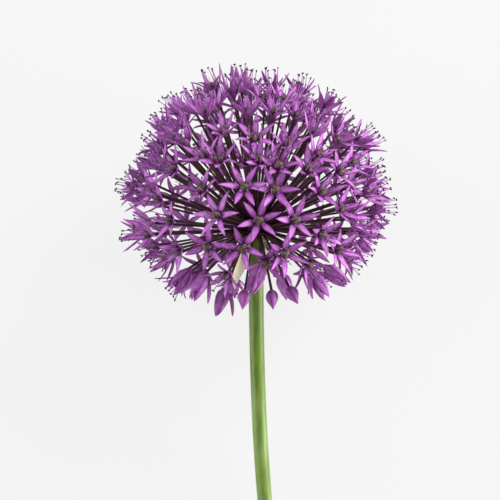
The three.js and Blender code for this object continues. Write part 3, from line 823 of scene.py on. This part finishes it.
def scape_material(colours):
    """Scape: smooth green with long faint streaks, a patchy waxy bloom, and a pale cut end."""
    it = Tissue(
        "waxy_scape", Subsurface_Weight=0.08, Subsurface_Radius=(0.6, 1.0, 0.25),
        Subsurface_Scale=1.2 * MM, Specular_IOR_Level=0.35, Coat_Roughness=0.35,
        Sheen_Weight=0.6, Sheen_Roughness=0.35, Sheen_Tint=(0.86, 1.0, 0.62, 1.0),
    )
    streak = it.place.noise(900, 3, (1, 0.035, 0.3))
    bloom = it.place.noise(95, 4, (1, 0.35, 1))
    skin = streak.step(0.35, 0.68).mix(colours.scape_green, colours.scape_olive)
    skin = (bloom.step(0.45, 0.8) * 0.22).mix(skin, colours.scape_pale)
    skin = ((1 - it.along.step(0.0, 0.0045)) * 0.9).mix(skin, colours.scape_cut)
    skin = (it.along.step(0.90, 1.0) * 0.35).mix(skin, colours.scape_olive)
    ripple = (it.turn * (56 * np.pi)).cosine() * 0.25 + streak * 1.4
    return it.finished(
        Base_Color=skin, Roughness=0.36 + bloom * 0.28, Normal=ripple.bump(0.3, 0.12 * MM),
        Coat_Weight=bloom.step(0.4, 0.7) * 0.2,
    )


def spathe_material(colours):
    """Dry spathe: cream paper with long veins, olive near its base, browned edge and tip."""
    it = Tissue(
        "papery_spathe", Subsurface_Weight=0.6, Subsurface_Radius=(1.0, 0.85, 0.6),
        Subsurface_Scale=1.5 * MM,
    )
    across = (it.turn * (2 * np.pi)).cosine()
    cloud = it.place.noise(330, 4)
    fibre = (across * 30.0 + cloud * 2.5).cosine() * 0.5 + 0.5
    skin = cloud.step(0.35, 0.7).mix(colours.spathe_cream, colours.spathe_tan)
    skin = (fibre.step(0.6, 1.0) * 0.35).mix(skin, colours.spathe_vein)
    skin = ((1 - it.along.step(0.05, 0.35)) * 0.45).mix(skin, colours.spathe_olive)
    skin = (abs(across).step(0.85, 1.0) * 0.4).mix(skin, colours.spathe_vein)
    skin = (it.along.step(0.92, 1.0) * 0.5).mix(skin, colours.spathe_vein)
    ripple = fibre * 0.8 + it.place.noise(1500, 3)
    return it.finished(
        Base_Color=skin, Roughness=0.62 + cloud * 0.25, Normal=ripple.bump(0.6, 0.15 * MM)
    )


def floor_material(colours):
    """A plain pale table with the faintest grain."""
    it = Tissue(
        "pale_table", Roughness=0.9, Specular_IOR_Level=0.1, Emission_Color=(1, 1, 1, 1),
        Emission_Strength=0.815,
    )
    grain = it.place.noise(60, 2) * 0.04
    return it.finished(Base_Color=grain.mix(colours.table, (0.07, 0.07, 0.07)))


# ---- sizes and colours

def length(name, millimetres, description):
    """A length that the user may change."""
    return bpy.props.FloatProperty(
        name=name, description=description, default=millimetres * MM, min=0.0, unit="LENGTH",
        precision=5,
    )


def colour(name, display, description):
    """A colour that the user may change, from eight-bit display values. Blender works in linear
    light, to which they are turned."""
    share = np.array(display) / 255
    linear = np.where(share <= 0.04045, share / 12.92, ((share + 0.055) / 1.055) ** 2.4)
    return bpy.props.FloatVectorProperty(
        name=name, description=description, default=tuple(linear), size=3, min=0.0, max=1.0,
        subtype="COLOR",
    )


class AlliumSizes(bpy.types.PropertyGroup):
    """Sizes of the finer parts."""

    tepal_half_width: length("Tepal half width", 1.4, "Half the width of an open floret's tepal")
    bell_half_width: length("Bell tepal half width", 1.9, "Half the width of a half-open floret's tepal")
    tepal_thickness: length("Tepal thickness", 0.32, "Thickness of a tepal at its middle")
    filament_radius: length("Filament radius", 0.17, "Radius of a stamen's filament near its anther")
    anther_length: length("Anther length", 1.35, "Length of an anther")
    anther_radius: length("Anther radius", 0.32, "Half the width of an anther")
    ovary_radius: length("Ovary radius", 1.75, "Half the width of an ovary")
    pedicel_radius: length("Pedicel radius", 0.4, "Half the width of a pedicel at its middle")
    bud_radius: length("Bud radius", 2.35, "Half the width of a closed bud")
    valve_thickness: length("Spathe thickness", 0.34, "Thickness of a spathe valve at its middle")


class AlliumColours(bpy.types.PropertyGroup):
    """Colours of the tissues and the table."""

    tepal: colour("Tepal", (143, 47, 153), "Violet of the tepals")
    # paler tissue, and the painted highlight and sheen of the tepals and buds
    tepal_pale_and_highlight: colour("Tepal light", (207, 136, 213), "Paler middle of the tepals")
    tepal_deep: colour("Tepal edge", (110, 27, 120), "Deep edges and tips")
    # dark tissue of midribs, seams, filament bases, pedicel tops and darker florets, and painted shade
    # at the foot and underside of the tepals and at the base of the buds
    tepal_dark_and_shade: colour("Tepal shade", (80, 12, 74), "Midribs and bases")
    bud: colour("Bud", (160, 72, 162), "Violet of the closed buds")
    filament: colour("Filament", (150, 96, 160), "Lilac of the filaments")
    anther: colour("Anther", (34, 28, 36), "Blackish skin of the anthers")
    pollen: colour("Pollen", (96, 96, 84), "Grey-green dust on the anthers")
    ovary: colour("Ovary", (110, 94, 70), "Olive of the ovaries")
    # painted shade in the ovaries' grooves, between their warts and at their base
    ovary_shade: colour("Ovary shade", (54, 38, 34), "Grooves of the ovaries")
    pedicel: colour("Pedicel", (42, 10, 26), "Dark maroon of the pedicels")
    # painted shade of the crowded pedicels near the hub
    pedicel_core_shade: colour("Pedicel core", (26, 6, 14), "Pedicels near the hub")
    # partly browner tissue, partly painted highlight
    pedicel_brown_and_highlight: colour("Pedicel light", (80, 40, 44), "Their browner places")
    scape_green: colour("Scape green", (92, 120, 24), "Green of the scape")
    scape_olive: colour("Scape olive", (72, 98, 18), "Its darker streaks")
    scape_pale: colour("Scape bloom", (178, 194, 132), "Its waxy bloom")
    scape_cut: colour("Scape cut", (196, 204, 150), "Its cut end")
    spathe_cream: colour("Spathe cream", (252, 242, 216), "Dry spathe")
    spathe_tan: colour("Spathe tan", (242, 224, 186), "Its darker clouds")
    spathe_vein: colour("Spathe vein", (182, 146, 100), "Its veins and tip")
    spathe_olive: colour("Spathe olive", (128, 124, 72), "Its green base")
    table: colour("Table", (70, 70, 70), "Pale table under the flower")


# ---- the pieces

def star_blades(plan, sizes):
    """The tepals of the open florets: each of its own length, lift, lean and twist. They are
    narrow at the base, widest at the middle, and drawn to a point as (1 - share^2.6)^0.85."""
    n, angles = six_parts(plan, 0.07, 20)
    share = np.array([0.0, 0.16, 0.34, 0.52, 0.70, 0.85, 0.95])
    raised = np.repeat(plan["raised"], TEPALS)
    wild = lerp(0.7, 1.9, raised)
    cupped = np.repeat(spread(plan["number"], 24), TEPALS)
    lines = lerp(OPEN_LINE, RAISED_LINE, raised[:, None, None])
    lines = lines * (1 + 0.05 * wild * spread(n, 21))[:, None, None]
    lines[:, 2, 1] += MM * (0.8 * wild * spread(n, 22) + 0.5 * cupped)
    lines[:, 3, 1] += MM * (1.2 * wild * spread(n, 23) + 1.3 * cupped)
    lines[:, 3, 0] -= MM * (0.9 * wild * spread(n, 29) + 0.5 * cupped)
    wide = sizes.tepal_half_width * (1 + 0.08 * spread(n, 25))
    shape = (0.5 + 0.5 * smoothstep(share, 0.0, 0.48)) * (1 - share**2.6) ** 0.85
    return blades(
        plan, angles, lines, share, wide[:, None] * shape, sizes.tepal_thickness / 2,
        channel=0.22, keel=0.9, twist=0.45 * wild * spread(n, 26),
        lean=1.1 * MM * wild * spread(n, 27),
    )


def bell_blades(plan, sizes):
    """The tepals of the half-open florets: broad, overlapping, every other one further in, and
    some loose. They widen early and close to a short point as (1 - share^3.4)^0.8."""
    n, angles = six_parts(plan, 0.06, 30)
    share = np.array([0.0, 0.14, 0.30, 0.48, 0.66, 0.82, 0.94])
    inner = n % 2
    lines = np.repeat(BELL_LINE[None], n.size, axis=0)
    lines[:, 1:3, 0] *= (1 - 0.14 * inner)[:, None]
    lines[:, 3, 0] += MM * (0.5 * spread(n, 31) - 0.2 * inner)
    lines[:, 3, 1] += 0.45 * MM * spread(n, 32)
    lines[draw(n, 36) < LOOSE_SHARE] += LOOSENING
    wide = sizes.bell_half_width * (1 + 0.06 * spread(n, 33))
    shape = (0.62 + 0.38 * smoothstep(share, 0.0, 0.35)) * (1 - share**3.4) ** 0.8
    return blades(
        plan, angles, lines, share, wide[:, None] * shape, sizes.tepal_thickness / 2,
        channel=0.30, keel=0.8, twist=0.25 * spread(n, 34), lean=0.5 * MM * spread(n, 35),
    )


def floret_cups(plan):
    """The short cup in which the tepals of a floret are joined, round the top of the pedicel."""
    profile = MM * np.array([
        [0.56, -1.3], [0.72, -0.8], [1.05, -0.2], [1.45, 0.25], [1.62, 0.62], [1.3, 0.85],
    ])
    share = np.array([0.05, 0.08, 0.12, 0.16, 0.2, 0.22])
    return turned_form(
        plan, profile, -1.5 * MM, 0.7 * MM, CUP_COLUMNS, TEPALS, 0.06, tone_of(plan), share
    )


def filaments(plan, line, raised_line, sizes):
    """Six filaments to a floret, one before each tepal: tapered tubes on Bezier curves. They
    stand up with the tepals. Gives their tips, slopes and numbers too, for the anthers."""
    n, angles = six_parts(plan, 0.16, 40)
    long = 1 + 0.10 * spread(n, 41) - 0.22 * np.repeat(draw(plan["number"], 43), TEPALS)
    lines = lerp(line, raised_line, np.repeat(plan["raised"], TEPALS)[:, None, None])
    lines[:, 2:, 1] *= long[:, None]
    lines[:, 3, 0] += 0.9 * MM * spread(n, 42)
    place, slope = bezier(lines, np.array([0.0, 0.25, 0.6, 1.0]))
    foot, outwards, around, facing = axes_of(plan, angles)
    middle = eased_off_table(foot[:, None] + in_plane(outwards, facing, place), 0.5 * MM)
    along = in_plane(outwards, facing, slope)
    radii = sizes.filament_radius * np.array([2.6, 1.7, 1.15, 0.9]) * np.ones((n.size, 1))
    rings = round_tube(middle, along, radii, THREAD_COLUMNS, around)
    tip, tip_slope = middle[:, -1], unit(along[:, -1])
    made = shell(rings, middle[:, 0], tip + 0.1 * MM * tip_slope, tone_of(plan, TEPALS))
    return made, tip, tip_slope, around, n


def anthers(plan, tip, along, around, n, sizes):
    """Anthers: ellipsoids set across the ends of the filaments, each tilted anew. They are
    smaller on the flattest florets."""
    grown = lerp(0.6, 1.0, np.minimum(1, 4 * np.repeat(plan["raised"], TEPALS)))
    half = grown * sizes.anther_length / 2
    tilt = (0.5 * np.pi * spread(n, 45))[:, None]
    side = np.cross(along, around)
    aside = side * 0.3 * spread(n, 46)[:, None]
    axis = unit(along * np.cos(tilt) * 0.6 + around * np.sin(tilt) + aside)
    steps = np.array([-0.72, 0.0, 0.72])
    centre = eased_off_table(tip + 0.25 * MM * along, half)
    line = centre[:, None] + axis[:, None] * (half[:, None] * steps)[..., None]
    radii = (grown * sizes.anther_radius)[:, None] * np.sqrt(1 - steps**2)
    slope = np.repeat(axis[:, None], 3, axis=1)
    rings = round_tube(line, slope, radii, ANTHER_COLUMNS, side)
    reach = axis * half[:, None]
    return shell(rings, centre - reach, centre + reach, draw(n, 47))


def ovaries(plan, sizes):
    """Ovaries: a flattened ball with three lobes, its radius swelling three times round."""
    angle = np.array([-0.28, 0.08, 0.5, 1.0, 1.35])
    height = 1.8 * MM + 1.35 * MM * np.sin(angle)
    profile = np.stack([sizes.ovary_radius * np.cos(angle), height], -1)
    tones = draw(plan["number"], 48)
    return turned_form(plan, profile, 0.8 * MM, 2.95 * MM, CUP_COLUMNS, 3, 0.10, tones)


def styles(plan):
    """A thin style on each ovary, slightly bent to one side."""
    foot, facing, n = plan["foot"], plan["facing"], plan["number"]
    share = np.array([0.0, 0.5, 1.0])
    way = 6 * draw(n, 49)[:, None]
    side = plan["right"] * np.cos(way) + plan["ahead"] * np.sin(way)
    flat = MM * np.stack([0.5 * share**2, 2.4 + 2.8 * share], -1)
    line = eased_off_table(foot[:, None] + in_plane(side, facing, flat[None]), 0.4 * MM)
    slope = np.repeat(facing[:, None], 3, axis=1)
    radii = MM * np.array([0.2, 0.15, 0.13]) * np.ones((n.size, 1))
    rings = round_tube(line, slope, radii, THREAD_COLUMNS, np.cross(facing, side))
    return shell(rings, line[:, 0], line[:, -1] + 0.1 * MM * facing, tone_of(plan))


def bud_forms(plan, sizes):
    """Buds: egg-shaped with a drawn-out tip. The radius is R sin(pi t^0.72)^0.9 at the share t
    of the height, narrowed by up to 0.28 to the tip, with six shallow furrows."""
    t = np.array([0.05, 0.13, 0.26, 0.42, 0.58, 0.73, 0.86, 0.95])
    low = -0.15 * MM
    radius = sizes.bud_radius * np.sin(np.pi * t**0.72) ** 0.9
    radius = radius * (1 - 0.28 * smoothstep(t, 0.45, 1.0))
    profile = np.stack([radius, lerp(low, BUD_TIP[1], t)], -1)
    return turned_form(
        plan, profile, low, BUD_TIP[1], BUD_COLUMNS, TEPALS, 0.035, tone_of(plan), t
    )


def pedicel_tubes(plan, sizes):
    """Pedicels: thin tubes from inside the hub to the florets. The upper ones are straight, the
    lower ones leave the hub higher and turn down on a Bezier curve."""
    n, facing, root = plan["number"], plan["facing"], plan["root"]
    start = root * PEDICEL_ROOT
    end = plan["foot"] - np.where(plan["bud"], 0, NECK)[:, None] * facing
    bent = plan["bent"][:, None]
    elbow = np.where(bent, root * PEDICEL_ELBOW, lerp(start, end, 1 / 3))
    straight = np.where(bent, lerp(elbow, end, ELBOW_END), lerp(start, end, 2 / 3))
    bow = 0.6 * MM * unit(np.cross(facing, root) + 1e-6) * spread(n, 50)[:, None]
    share = np.linspace(0, 1, 10)
    line, slope = bezier(np.stack([start, elbow + bow, straight + bow, end], axis=1), share)
    line = eased_off_table(line, 0.5 * MM)
    widths = np.interp(share, [0, 0.1, 0.5, 0.9, 1], [1.35, 1.2, 1.0, 1.1, 1.25])
    radii = sizes.pedicel_radius * widths * (1 + 0.12 * spread(n, 51))[:, None]
    rings = round_tube(line, slope, radii, PEDICEL_COLUMNS, plan["right"])
    return shell(rings, start, end + 0.4 * MM * facing, tone_of(plan))


def hub_form():
    """The knob in which the pedicels meet: a ball with a flat seat, lumpy where they leave it."""
    latitude = np.linspace(-0.5 * np.pi, 0.5 * np.pi, 16)[1:-1, None]
    angle = turns(STALK_COLUMNS)
    radius = HUB_SKIN * (1 + 0.03 * np.cos(9 * angle) * np.cos(7 * latitude))
    out = radius * np.cos(latitude)
    height = np.maximum(-HUB_SEAT, radius * np.sin(latitude))
    rings = np.stack([out * np.cos(angle), out * np.sin(angle), height], -1)[None]
    return shell(rings, np.array([[0, 0, -HUB_SEAT]]), np.array([[0, 0, HUB_SKIN]]))


def scape_form():
    """The scape: a round stalk with faint ribs, swollen under the hub, and bent to the right by
    B d^P, where d is the share of the way down. Its ends are bevelled."""
    top = -HUB_SEAT - FIT
    t = np.concatenate([[0, 0.0015, 0.005], np.linspace(0.02, 0.91, 44), np.linspace(0.93, 1, 14)])
    height = lerp(-SCAPE_LENGTH, top, t)[:, None]
    angle = turns(STALK_COLUMNS)
    swell = smoothstep(height, top - SCAPE_SWELLING, top - SCAPE_SWELLING / 6)
    bevel = 1 - 0.10 * (1 - smoothstep(t, 0, 0.005)) - 0.12 * smoothstep(t, 0.99, 1)
    ribs = 0.006 * (1 - np.cos(9 * angle + 14 * height)) + 0.005 * (1 - np.cos(2 * angle))
    radius = lerp(SCAPE_RADIUS, SCAPE_TOP_RADIUS, swell) * (1 - ribs) * bevel[:, None]
    shift = SCAPE_BEND * np.maximum(0, (top - height) / (top + SCAPE_LENGTH)) ** BEND_POWER
    x, y = radius * np.cos(angle) + shift, radius * np.sin(angle)
    rings = np.stack([x, y, height + 0 * angle], -1)[None]
    start = np.array([[SCAPE_BEND, 0, -SCAPE_LENGTH + 0.25 * MM]])
    return shell(rings, start, np.array([[0, 0, top]]), lengths=np.clip(t, 0.0002, 0.9998))


def valve_form(azimuth, width, line, sizes, seed):
    """A spathe valve: a pointed strip of a surface turned about the scape. Its width along its
    Bezier middle line follows a sine, its section is a lens, its margins roll in, and shallow
    waves run over it, deeper towards its tip."""
    share = np.array([0, 0.04, 0.1, *np.linspace(0.16, 0.94, 24), 0.97])[:, None]
    place, slope = bezier(line, share[:, 0])
    slope = unit(slope)
    half = np.maximum(VALVE_TIP_WIDTH, width * np.sin(np.pi * lerp(VALVE_BASE, 1, share))) / 2
    t = turns(VALVE_COLUMNS)
    across = np.cos(t) * (1 + 0.12 * np.sin(t) ** 2)
    wave = 0.28 * MM * np.sin(9 * share + seed + 2.4 * across) * share
    roll = -0.30 * half * np.abs(across) ** 2.4 * smoothstep(share, 0.1, 0.6)
    creases = 0.06 * MM * np.cos(14 * across + 3 * share)
    offset = sizes.valve_thickness / 2 * np.sin(t) + (wave + roll + creases) * 0.8
    margin = half * (1 + 0.035 * np.sin(23 * share + seed) * np.sign(np.cos(t)))
    distance = place[:, :1] + offset * slope[:, 1:]
    height = -place[:, 1:] + offset * slope[:, :1]
    turned = azimuth - across * margin / place[:, :1]
    rings = np.stack([distance * np.sin(turned), -distance * np.cos(turned), height], -1)[None]
    out, down = line[3]
    end = np.array([[out * np.sin(azimuth), -out * np.cos(azimuth), -down]])
    return shell(rings, rings[:, 0].mean(axis=1), end, lengths=share[:, 0] * 0.98 + 0.01)


# ---- operators

def settings(context):
    """The sizes and the colours that the user may change."""
    return context.scene.allium_sizes, context.scene.allium_colours


class ALLIUM_OT_tepals(bpy.types.Operator):
    """Add the tepals and cups of the open florets, and those of the half-open ones"""

    bl_idname = "allium.tepals"
    bl_label = "Tepals"

    def execute(self, context):
        sizes, colours = settings(context)
        material = tepal_material(colours)
        for habit, habit_blades in (("open", star_blades), ("bell", bell_blades)):
            plan = chosen(plan_florets(), habit)
            shells = [habit_blades(plan, sizes), floret_cups(plan)]
            make_piece(f"{habit}_tepals", shells, material, "floret_tissue", "umbel")
        return {"FINISHED"}


class ALLIUM_OT_buds(bpy.types.Operator):
    """Add the closed buds round the scape"""

    bl_idname = "allium.buds"
    bl_label = "Buds"

    def execute(self, context):
        sizes, colours = settings(context)
        forms = bud_forms(chosen(plan_florets(), "bud"), sizes)
        make_piece("buds", [forms], bud_material(colours), "floret_tissue", "umbel")
        return {"FINISHED"}


class ALLIUM_OT_stamens(bpy.types.Operator):
    """Add the filaments and anthers of the open and half-open florets"""

    bl_idname = "allium.stamens"
    bl_label = "Stamens"

    def execute(self, context):
        sizes, colours = settings(context)
        threads, sacs = [], []
        for habit, lines in FILAMENT_LINES.items():
            plan = chosen(plan_florets(), habit)
            thread, *tips = filaments(plan, *lines, sizes)
            threads.append(thread)
            sacs.append(anthers(plan, *tips, sizes))
        make_piece("filaments", threads, filament_material(colours), "floret_tissue", "umbel")
        make_piece("anthers", sacs, anther_material(colours), "floret_tissue", "umbel")
        return {"FINISHED"}


class ALLIUM_OT_pistils(bpy.types.Operator):
    """Add the ovaries and styles of the open and half-open florets"""

    bl_idname = "allium.pistils"
    bl_label = "Pistils"

    def execute(self, context):
        sizes, colours = settings(context)
        blooms = [chosen(plan_florets(), habit) for habit in ("open", "bell")]
        lobed = [ovaries(plan, sizes) for plan in blooms]
        make_piece("ovaries", lobed, ovary_material(colours), "floret_tissue", "umbel")
        thin = [styles(plan) for plan in blooms]
        make_piece("styles", thin, filament_material(colours), "floret_tissue", "umbel")
        return {"FINISHED"}


class ALLIUM_OT_pedicels(bpy.types.Operator):
    """Add the pedicels and the hub in which they meet"""

    bl_idname = "allium.pedicels"
    bl_label = "Pedicels"

    def execute(self, context):
        sizes, colours = settings(context)
        shells = [pedicel_tubes(plan_florets(), sizes), hub_form()]
        make_piece("pedicels", shells, pedicel_material(colours), "floret_tissue", "umbel")
        return {"FINISHED"}


class ALLIUM_OT_scape(bpy.types.Operator):
    """Add the scape, the bare stalk"""

    bl_idname = "allium.scape"
    bl_label = "Scape"

    def execute(self, context):
        _, colours = settings(context)
        material = scape_material(colours)
        make_piece("flower_scape", [scape_form()], material, "stalk_tissue", "scape")
        return {"FINISHED"}


class ALLIUM_OT_spathe(bpy.types.Operator):
    """Add the three dry valves of the spathe"""

    bl_idname = "allium.spathe"
    bl_label = "Spathe"

    def execute(self, context):
        sizes, colours = settings(context)
        material = spathe_material(colours)
        for seed, (name, valve) in enumerate(VALVES.items()):
            form = valve_form(*valve, sizes, 2.0 * seed)
            node = f"spathe_valve_{name}"
            make_piece(f"papery_valve_{name}", [form], material, "spathe_skin", node)
        return {"FINISHED"}


class ALLIUM_OT_stage(bpy.types.Operator):
    """Add the table, the soft lights and the camera"""

    bl_idname = "allium.stage"
    bl_label = "Stage"

    def execute(self, context):
        scene = context.scene
        scene.view_settings.view_transform = "Standard"
        corners = [(TABLE_HALF * x, TABLE_HALF * y, 0) for x, y in ((-1, -1), (1, -1), (1, 1), (-1, 1))]
        mesh = bpy.data.meshes.new("table")
        mesh.from_pydata(corners, [], [(0, 1, 2, 3)])
        mesh.materials.append(floor_material(scene.allium_colours))
        table = bpy.data.objects.new("table", mesh)
        scene.collection.objects.link(table)

        low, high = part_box("umbel")
        for name, (place, size, power, tint) in LIGHTS.items():
            light = bpy.data.lights.new(name, "AREA")
            light.size = size
            light.energy = power
            light.color = tint
            lamp = bpy.data.objects.new(name, light)
            lamp.location = place
            aim = low.lerp(high, 0.5) - lamp.location
            lamp.rotation_euler = aim.to_track_quat("-Z", "Y").to_euler()
            scene.collection.objects.link(lamp)
        world = bpy.data.worlds.new("studio")
        world.use_nodes = True
        background = world.node_tree.nodes["Background"]
        background.inputs["Color"].default_value = (1, 1, 1, 1)
        background.inputs["Strength"].default_value = WORLD_LIGHT
        scene.world = world

        camera = bpy.data.cameras.new("camera")
        camera.sensor_width = SENSOR_WIDTH
        camera.lens = SENSOR_WIDTH * VIEW_DISTANCE / PICTURE_WIDTH
        camera.clip_start = CLIP_START
        eye = bpy.data.objects.new("camera", camera)
        eye.rotation_euler = (LEAN, 0, 0)
        right, above = HUB_IN_PICTURE
        eye.location = as_laid(np.array([-right, -VIEW_DISTANCE, -above]))
        scene.collection.objects.link(eye)
        scene.camera = eye
        return {"FINISHED"}


OPERATORS = (
    ALLIUM_OT_tepals,
    ALLIUM_OT_buds,
    ALLIUM_OT_stamens,
    ALLIUM_OT_pistils,
    ALLIUM_OT_pedicels,
    ALLIUM_OT_scape,
    ALLIUM_OT_spathe,
    ALLIUM_OT_stage,
)


class ALLIUM_PT_panel(bpy.types.Panel):
    """Lists the pieces of the flower head, and the sizes and colours they take"""

    bl_idname = "ALLIUM_PT_panel"
    bl_label = "Allium flower head"
    bl_space_type = "VIEW_3D"
    bl_region_type = "UI"
    bl_category = "Allium"

    def draw(self, context):
        for operator in OPERATORS:
            self.layout.operator(operator.bl_idname)
        for group in (context.scene.allium_sizes, context.scene.allium_colours):
            box = self.layout.box()
            for name in group.__annotations__:
                box.prop(group, name)


CLASSES = (AlliumSizes, AlliumColours, *OPERATORS, ALLIUM_PT_panel)


def register():
    """Tells Blender of the classes, and gives each scene its sizes and colours."""
    for cls in CLASSES:
        bpy.utils.register_class(cls)
    bpy.types.Scene.allium_sizes = bpy.props.PointerProperty(type=AlliumSizes)
    bpy.types.Scene.allium_colours = bpy.props.PointerProperty(type=AlliumColours)


def unregister():
    """Takes them away again."""
    del bpy.types.Scene.allium_colours
    del bpy.types.Scene.allium_sizes
    for cls in reversed(CLASSES):
        bpy.utils.unregister_class(cls)


def main():
    """Registers the classes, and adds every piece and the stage."""
    register()
    bpy.ops.allium.tepals()
    bpy.ops.allium.buds()
    bpy.ops.allium.stamens()
    bpy.ops.allium.pistils()
    bpy.ops.allium.pedicels()
    bpy.ops.allium.scape()
    bpy.ops.allium.spathe()
    bpy.ops.allium.stage()


if __name__ == "__main__":
    main()
